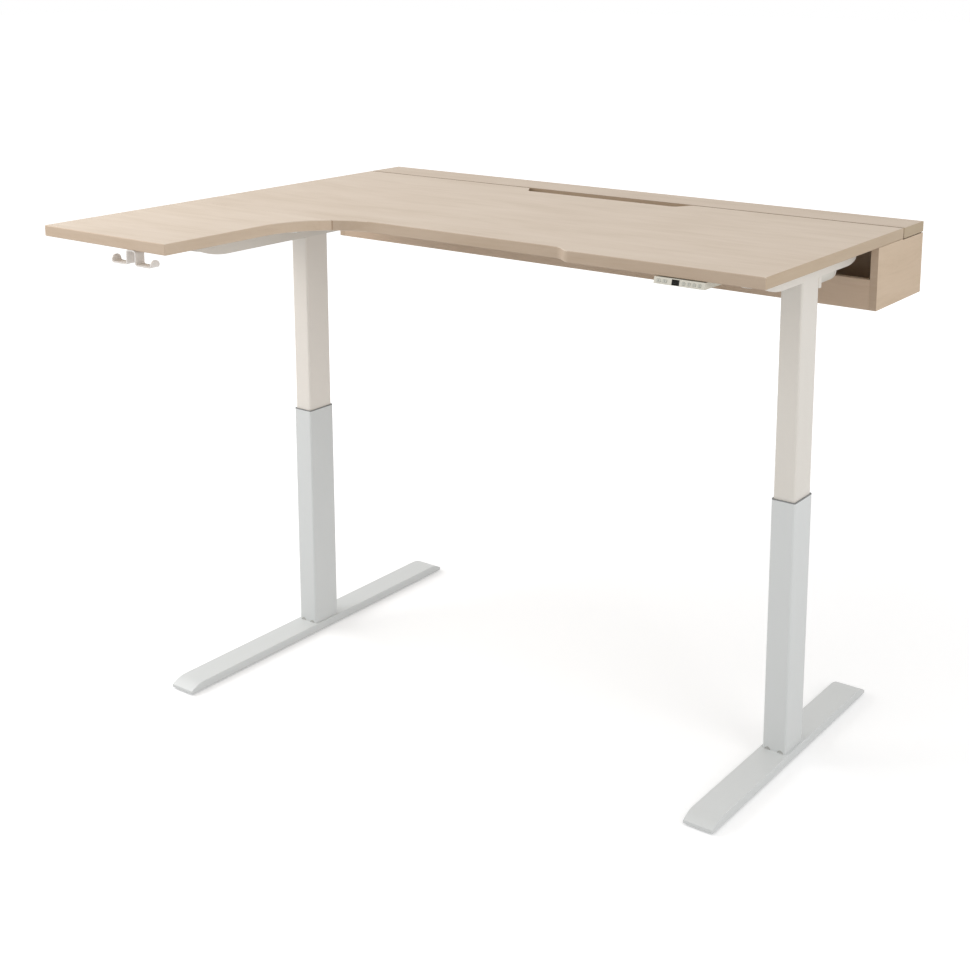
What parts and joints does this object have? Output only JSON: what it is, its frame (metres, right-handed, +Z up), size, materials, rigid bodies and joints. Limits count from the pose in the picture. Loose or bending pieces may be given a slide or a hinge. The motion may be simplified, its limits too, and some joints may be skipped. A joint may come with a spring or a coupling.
{
  "type": "height adjustable standing desk",
  "caption": "Height adjustable corner desk: L-shaped pale oak top on two telescopic legs, with a lidded cable box, a handset and a double bag hook.",
  "frame": {"origin": "on the floor, under the middle of the desk's bounding box", "axes": "+X to the right along the longest side, +Y to the rear, +Z up"},
  "size_m": [1.6, 1.2564, 1.16],
  "materials": {
    "oak_board": "satin",
    "raw_wood": "matte",
    "frame_paint": "satin",
    "motor_paint": "satin",
    "hook_paint": "satin",
    "plated_steel": "satin",
    "bright_steel": "polished",
    "cast_alloy": "cast",
    "nut_plastic": "matte",
    "collar_plastic": "matte",
    "glide_plastic": "matte",
    "case_plastic": "matte",
    "socket_plastic": "matte",
    "board_laminate": "satin",
    "handset_plastic": "satin",
    "display_black": "gloss",
    "button_plastic": "matte"
  },
  "bodies": {
    "base": {"foot_left": "frame_paint", "foot_right": "frame_paint", "foot_bolts": "plated_steel", "column_base_plates": "plated_steel", "outer_tube_left": "frame_paint", "outer_tube_right": "frame_paint", "guide_collars": "collar_plastic", "push_tubes": "plated_steel", "spindle_nuts": "nut_plastic"},
    "lift": {"inner_tube_left": "frame_paint", "inner_tube_right": "frame_paint", "slide_pads": "nut_plastic", "gear_housings": "cast_alloy", "motors": "motor_paint", "spindle_bearings": "bright_steel", "side_arm_left": "frame_paint", "side_arm_right": "frame_paint", "cross_rails": "frame_paint", "rail_bolts": "plated_steel", "main_worktop": "oak_board", "wing_worktop": "oak_board", "joining_plates": "plated_steel", "board_screws": "plated_steel", "lid_ledges": "raw_wood", "box_end_left": "oak_board", "box_end_right": "oak_board", "box_front": "oak_board", "box_back": "oak_board", "box_bottom": "oak_board", "box_brackets": "plated_steel", "box_dowels": "raw_wood", "control_case": "case_plastic", "control_cover": "case_plastic", "control_board": "board_laminate", "control_sockets": "socket_plastic", "mains_inlet": "socket_plastic", "handset_shell": "handset_plastic", "handset_mount": "handset_plastic", "handset_display": "display_black", "handset_board": "board_laminate", "bag_hook": "hook_paint", "hinge_leaves_fixed": "plated_steel", "hinge_screws_fixed": "plated_steel", "hinge_pins": "plated_steel"},
    "spindle_left": {"spindle_left": "bright_steel"},
    "spindle_right": {"spindle_right": "bright_steel"},
    "lid": {"cable_lid": "oak_board", "hinge_leaves_lid": "plated_steel", "hinge_screws_lid": "plated_steel"},
    "glide_front_left": {"glide_front_left": "glide_plastic"},
    "glide_rear_left": {"glide_rear_left": "glide_plastic"},
    "glide_front_right": {"glide_front_right": "glide_plastic"},
    "glide_rear_right": {"glide_rear_right": "glide_plastic"},
    "button_up": {"button_up": "button_plastic"},
    "button_down": {"button_down": "button_plastic"},
    "button_one": {"button_one": "button_plastic"},
    "button_two": {"button_two": "button_plastic"},
    "button_three": {"button_three": "button_plastic"},
    "button_four": {"button_four": "button_plastic"}
  },
  "joints": [
    {"name": "lift", "type": "slide", "parent": "base", "child": "lift", "axis": [0, 0, 1], "range_m": [-0.45, 0]},
    {"name": "spindle_left", "type": "hinge", "parent": "lift", "child": "spindle_left", "pos_m": [-0.59, 0.0218, 1], "axis": [0, 0, 1], "range_deg": [-16210, 10]},
    {"name": "spindle_right", "type": "hinge", "parent": "lift", "child": "spindle_right", "pos_m": [0.72, 0.1418, 1], "axis": [0, 0, 1], "range_deg": [-16210, 10]},
    {"name": "lid", "type": "hinge", "parent": "lift", "child": "lid", "pos_m": [0, 0.6252, 1.135], "axis": [-1, 0, 0], "range_deg": [0, 100]},
    {"name": "glide_front_left", "type": "slide", "parent": "base", "child": "glide_front_left", "axis": [0, 0, -1], "range_m": [0, 0.01]},
    {"name": "glide_rear_left", "type": "slide", "parent": "base", "child": "glide_rear_left", "axis": [0, 0, -1], "range_m": [0, 0.01]},
    {"name": "glide_front_right", "type": "slide", "parent": "base", "child": "glide_front_right", "axis": [0, 0, -1], "range_m": [0, 0.01]},
    {"name": "glide_rear_right", "type": "slide", "parent": "base", "child": "glide_rear_right", "axis": [0, 0, -1], "range_m": [0, 0.01]},
    {"name": "button_up", "type": "slide", "parent": "lift", "child": "button_up", "axis": [0, 0.9615, -0.2747], "range_m": [0, 0.0008], "stiffness_N_per_m": 800, "springref_m": -0.0005},
    {"name": "button_down", "type": "slide", "parent": "lift", "child": "button_down", "axis": [0, 0.9615, -0.2747], "range_m": [0, 0.0008], "stiffness_N_per_m": 800, "springref_m": -0.0005},
    {"name": "button_one", "type": "slide", "parent": "lift", "child": "button_one", "axis": [0, 0.9615, -0.2747], "range_m": [0, 0.0008], "stiffness_N_per_m": 800, "springref_m": -0.0005},
    {"name": "button_two", "type": "slide", "parent": "lift", "child": "button_two", "axis": [0, 0.9615, -0.2747], "range_m": [0, 0.0008], "stiffness_N_per_m": 800, "springref_m": -0.0005},
    {"name": "button_three", "type": "slide", "parent": "lift", "child": "button_three", "axis": [0, 0.9615, -0.2747], "range_m": [0, 0.0008], "stiffness_N_per_m": 800, "springref_m": -0.0005},
    {"name": "button_four", "type": "slide", "parent": "lift", "child": "button_four", "axis": [0, 0.9615, -0.2747], "range_m": [0, 0.0008], "stiffness_N_per_m": 800, "springref_m": -0.0005}
  ],
  "couplings": [
    {"joint": "spindle_left", "follows": "lift", "rad_per_m": 628.32},
    {"joint": "spindle_right", "follows": "lift", "rad_per_m": 628.32}
  ]
}
